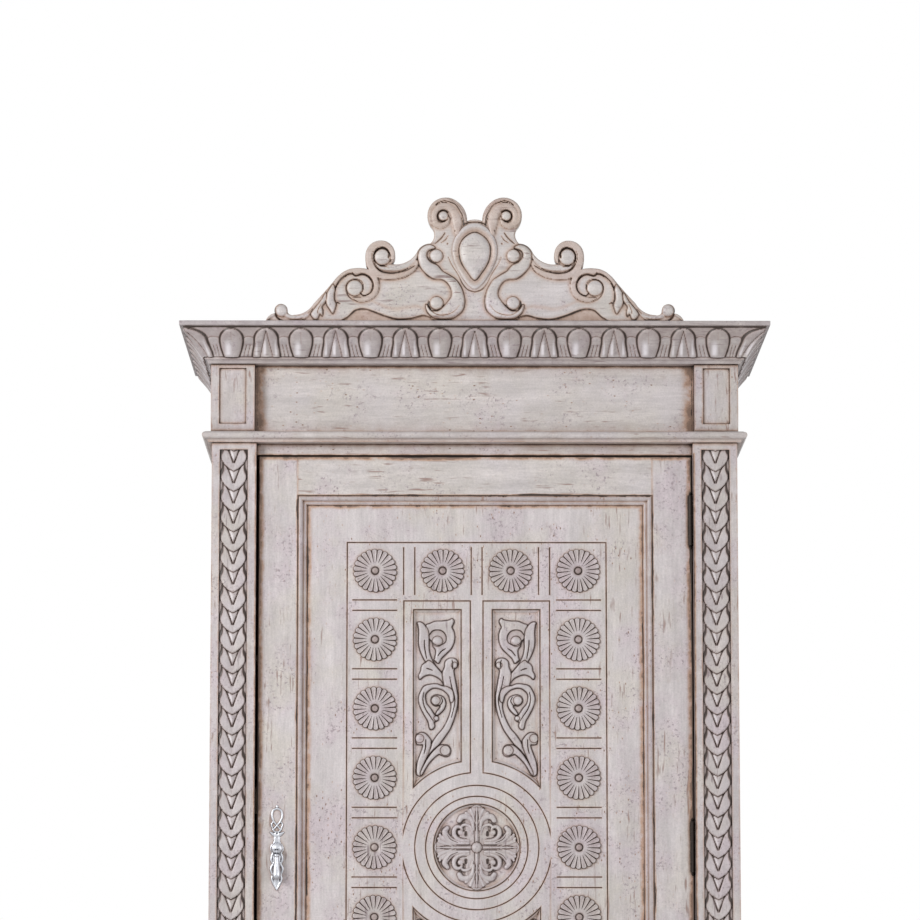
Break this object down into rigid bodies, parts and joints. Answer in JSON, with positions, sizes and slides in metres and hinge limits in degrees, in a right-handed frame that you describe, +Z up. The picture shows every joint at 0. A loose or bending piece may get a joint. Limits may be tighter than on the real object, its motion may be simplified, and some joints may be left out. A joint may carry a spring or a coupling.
{
  "type": "bonnetiere cabinet",
  "caption": "Tall single-door linen cupboard with carved crest, leaf-carved cornice and pilasters, carved framed door on butt hinges, pendant pull and adjustable shelves.",
  "frame": {"origin": "on the floor, in the middle of the bounding box's footprint", "axes": "+Z up, the front with the door faces -Y, +X to the right seen from the front"},
  "size_m": [1.129, 0.6, 2.2905],
  "materials": {
    "painted_wood": "distressed off-white paint under brown glaze",
    "painted_carving": "carved, off-white paint with dark glaze in the cuts",
    "inside_wood": "satin clear finish",
    "hinge_steel": "oiled dark steel",
    "pewter": "antique pewter",
    "pin_brass": "turned, plain",
    "catch_plastic": "moulded brown",
    "strike_steel": "zinc plated"
  },
  "bodies": {
    "cabinet": {"back_panel": "inside_wood", "base_moulding": "painted_wood", "bottom_board": "inside_wood", "bottom_rail": "painted_wood", "catch_body": "catch_plastic", "cornice_front": "painted_wood", "cornice_left": "painted_wood", "cornice_right": "painted_wood", "crest_board": "painted_carving", "crest_cartouche": "painted_carving", "frieze_block_left": "painted_wood", "frieze_block_right": "painted_wood", "frieze_board": "painted_wood", "header_rail": "painted_wood", "hinge_lower_frame_leaf": "hinge_steel", "hinge_lower_pin": "hinge_steel", "hinge_middle_frame_leaf": "hinge_steel", "hinge_middle_pin": "hinge_steel", "hinge_upper_frame_leaf": "hinge_steel", "hinge_upper_pin": "hinge_steel", "inner_top": "inside_wood", "leaf_strip_left": "painted_carving", "leaf_strip_right": "painted_carving", "lower_bead_moulding": "painted_wood", "lower_block_left": "painted_wood", "lower_block_right": "painted_wood", "lower_frieze_board": "painted_wood", "pilaster_left": "painted_wood", "pilaster_right": "painted_wood", "plinth_back": "inside_wood", "plinth_front": "painted_wood", "plinth_left": "painted_wood", "plinth_right": "painted_wood", "shelf_lower": "inside_wood", "shelf_middle": "inside_wood", "shelf_pins": "pin_brass", "shelf_upper": "inside_wood", "side_frame_left": "painted_wood", "side_frame_right": "painted_wood", "side_panel_left": "painted_wood", "side_panel_right": "painted_wood", "top_board": "painted_wood", "upper_bead_moulding": "painted_wood"},
    "door": {"door_panel": "painted_wood", "door_panel_moulding": "painted_wood", "door_rail_bottom": "painted_wood", "door_rail_top": "painted_wood", "door_stile_left": "painted_wood", "door_stile_right": "painted_wood", "hinge_lower_door_leaf": "hinge_steel", "hinge_middle_door_leaf": "hinge_steel", "hinge_upper_door_leaf": "hinge_steel", "rosettes": "painted_carving", "medallion": "painted_carving", "scroll_carvings": "painted_carving", "catch_strike": "strike_steel", "pull_plate": "pewter", "pull_boss": "pewter", "pull_pivot": "pewter"},
    "drop": {"pull_drop": "pewter"}
  },
  "joints": [
    {"name": "door_hinge", "type": "hinge", "parent": "cabinet", "child": "door", "pos_m": [0.4135, -0.2274, 1.048], "axis": [0, 0, 1], "range_deg": [0, 115]},
    {"name": "pull_swing", "type": "hinge", "parent": "door", "child": "drop", "pos_m": [-0.375, -0.2365, 1.038], "axis": [-1, 0, 0], "range_deg": [0, 80]}
  ]
}
